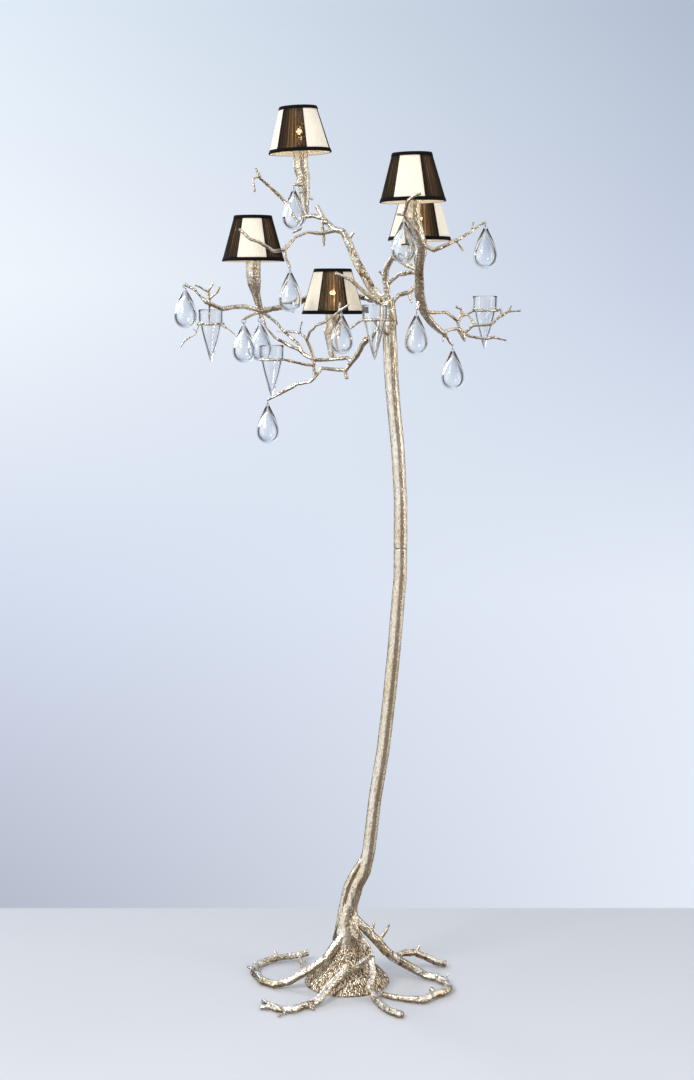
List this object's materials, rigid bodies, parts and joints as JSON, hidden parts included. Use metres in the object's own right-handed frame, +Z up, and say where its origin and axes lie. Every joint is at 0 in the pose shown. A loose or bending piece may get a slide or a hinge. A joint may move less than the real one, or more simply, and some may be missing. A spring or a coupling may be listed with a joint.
{
  "type": "tree floor lamp",
  "caption": "Cast metal tree floor lamp with candle lights under pleated clip-on shades, glass tealight cups in twig rings and hanging glass drops.",
  "frame": {"origin": "centre of the bark cone's underside, on the floor", "axes": "+Z up the trunk, front of the lamp towards -Y, +X to the right"},
  "size_m": [0.6998, 0.3769, 1.8106],
  "materials": {
    "antique_metal": "champagne metal leaf over cast bark, with brown patina in the furrows",
    "clear_glass": "clear pressed glass",
    "bulb_glass": "clear bulb glass, lit",
    "shade_cloth": "pleated ivory and sheer black panels by turns",
    "black_binding": "black edge binding",
    "clip_wire": "brass wire",
    "ring_wire": "thin wire rings",
    "holder_plastic": "ivory holder",
    "cap_metal": "screw cap",
    "ballast_iron": "raw casting",
    "plate_board": "felt faced plate",
    "gland_plastic": "black bushing"
  },
  "bodies": {
    "root": {"base_ballast": "ballast_iron", "base_cone": "antique_metal", "base_plate": "plate_board", "bulb_caps": "cap_metal", "bulb_glasses": "bulb_glass", "candle_sleeve_1": "antique_metal", "candle_sleeve_2": "antique_metal", "candle_sleeve_3": "antique_metal", "candle_sleeve_4": "antique_metal", "candle_sleeve_5": "antique_metal", "cord_gland": "gland_plastic", "drop_rings": "ring_wire", "lamp_holders": "holder_plastic", "limb_centre": "antique_metal", "limb_front": "antique_metal", "limb_left": "antique_metal", "limb_lower_left": "antique_metal", "limb_right": "antique_metal", "limb_upper_left": "antique_metal", "limb_upper_right": "antique_metal", "root_front_left": "antique_metal", "root_front_right": "antique_metal", "root_left_loop": "antique_metal", "root_right_back": "antique_metal", "root_right_loop": "antique_metal", "trunk_coupling": "antique_metal", "trunk_lower": "antique_metal", "trunk_upper": "antique_metal", "twig_centre": "antique_metal"},
    "drop_1": {"glass_drop_1": "clear_glass"},
    "drop_2": {"glass_drop_2": "clear_glass"},
    "drop_3": {"glass_drop_3": "clear_glass"},
    "drop_4": {"glass_drop_4": "clear_glass"},
    "drop_5": {"glass_drop_5": "clear_glass"},
    "drop_6": {"glass_drop_6": "clear_glass"},
    "drop_7": {"glass_drop_7": "clear_glass"},
    "drop_8": {"glass_drop_8": "clear_glass"},
    "drop_9": {"glass_drop_9": "clear_glass"},
    "drop_10": {"glass_drop_10": "clear_glass"},
    "drop_11": {"glass_drop_11": "clear_glass"},
    "cup_1": {"tealight_cup_1": "clear_glass"},
    "cup_2": {"tealight_cup_2": "clear_glass"},
    "cup_3": {"tealight_cup_3": "clear_glass"},
    "cup_4": {"tealight_cup_4": "clear_glass"},
    "shade_unit_1": {"shade_1": "shade_cloth", "shade_1_binding": "black_binding", "shade_1_clip": "clip_wire"},
    "shade_unit_2": {"shade_2": "shade_cloth", "shade_2_binding": "black_binding", "shade_2_clip": "clip_wire"},
    "shade_unit_3": {"shade_3": "shade_cloth", "shade_3_binding": "black_binding", "shade_3_clip": "clip_wire"},
    "shade_unit_4": {"shade_4": "shade_cloth", "shade_4_binding": "black_binding", "shade_4_clip": "clip_wire"},
    "shade_unit_5": {"shade_5": "shade_cloth", "shade_5_binding": "black_binding", "shade_5_clip": "clip_wire"}
  },
  "joints": [
    {"name": "drop_1_swing", "type": "hinge", "parent": "root", "child": "drop_1", "pos_m": [-0.106, 0.008, 1.6442], "axis": [0, 1, 0], "range_deg": [-20, 20]},
    {"name": "drop_2_swing", "type": "hinge", "parent": "root", "child": "drop_2", "pos_m": [-0.113, -0.029, 1.4822], "axis": [0, 1, 0], "range_deg": [-20, 20]},
    {"name": "drop_3_swing", "type": "hinge", "parent": "root", "child": "drop_3", "pos_m": [-0.324, 0, 1.4492], "axis": [1, 0, 0], "range_deg": [-15, 15]},
    {"name": "drop_4_swing", "type": "hinge", "parent": "root", "child": "drop_4", "pos_m": [-0.209, 0.028, 1.3792], "axis": [1, 0, 0], "range_deg": [-4, 12]},
    {"name": "drop_5_swing", "type": "hinge", "parent": "root", "child": "drop_5", "pos_m": [-0.178, 0.078, 1.3812], "axis": [1, 0, 0], "range_deg": [-5, 15]},
    {"name": "drop_6_swing", "type": "hinge", "parent": "root", "child": "drop_6", "pos_m": [-0.163, 0.06, 1.2132], "axis": [0, 1, 0], "range_deg": [-20, 20]},
    {"name": "drop_7_swing", "type": "hinge", "parent": "root", "child": "drop_7", "pos_m": [-0.011, -0.031, 1.3982], "axis": [0, 1, 0], "range_deg": [-20, 20]},
    {"name": "drop_8_swing", "type": "hinge", "parent": "root", "child": "drop_8", "pos_m": [0.106, -0.214, 1.5732], "axis": [0, 1, 0], "range_deg": [-20, 20]},
    {"name": "drop_9_swing", "type": "hinge", "parent": "root", "child": "drop_9", "pos_m": [0.267, -0.114, 1.5652], "axis": [0, 1, 0], "range_deg": [-20, 20]},
    {"name": "drop_10_swing", "type": "hinge", "parent": "root", "child": "drop_10", "pos_m": [0.136, -0.082, 1.3982], "axis": [0, 1, 0], "range_deg": [-20, 20]},
    {"name": "drop_11_swing", "type": "hinge", "parent": "root", "child": "drop_11", "pos_m": [0.212, -0.014, 1.3272], "axis": [0, 1, 0], "range_deg": [-20, 20]},
    {"name": "cup_1_lift", "type": "slide", "parent": "root", "child": "cup_1", "axis": [0, 0, 1], "range_m": [0, 0.09]},
    {"name": "cup_2_lift", "type": "slide", "parent": "root", "child": "cup_2", "axis": [0, 0, 1], "range_m": [0, 0.09]},
    {"name": "cup_3_lift", "type": "slide", "parent": "root", "child": "cup_3", "axis": [0, 0, 1], "range_m": [0, 0.09]},
    {"name": "cup_4_lift", "type": "slide", "parent": "root", "child": "cup_4", "axis": [0, 0, 1], "range_m": [0, 0.09]},
    {"name": "shade_1_turn", "type": "hinge", "parent": "root", "child": "shade_unit_1", "pos_m": [-0.094, 0.045, 1.718], "axis": [-0.0436, 0, 0.999], "continuous": true},
    {"name": "shade_2_turn", "type": "hinge", "parent": "root", "child": "shade_unit_2", "pos_m": [-0.19, 0.052, 1.504], "axis": [0, 0, 1], "continuous": true},
    {"name": "shade_3_turn", "type": "hinge", "parent": "root", "child": "shade_unit_3", "pos_m": [0.125, -0.16, 1.61], "axis": [-0.0244, 0, 0.9997], "continuous": true},
    {"name": "shade_4_turn", "type": "hinge", "parent": "root", "child": "shade_unit_4", "pos_m": [0.145, 0.01, 1.544], "axis": [0, 0, 1], "continuous": true},
    {"name": "shade_5_turn", "type": "hinge", "parent": "root", "child": "shade_unit_5", "pos_m": [-0.029, 0.06, 1.398], "axis": [0, 0, 1], "continuous": true}
  ]
}
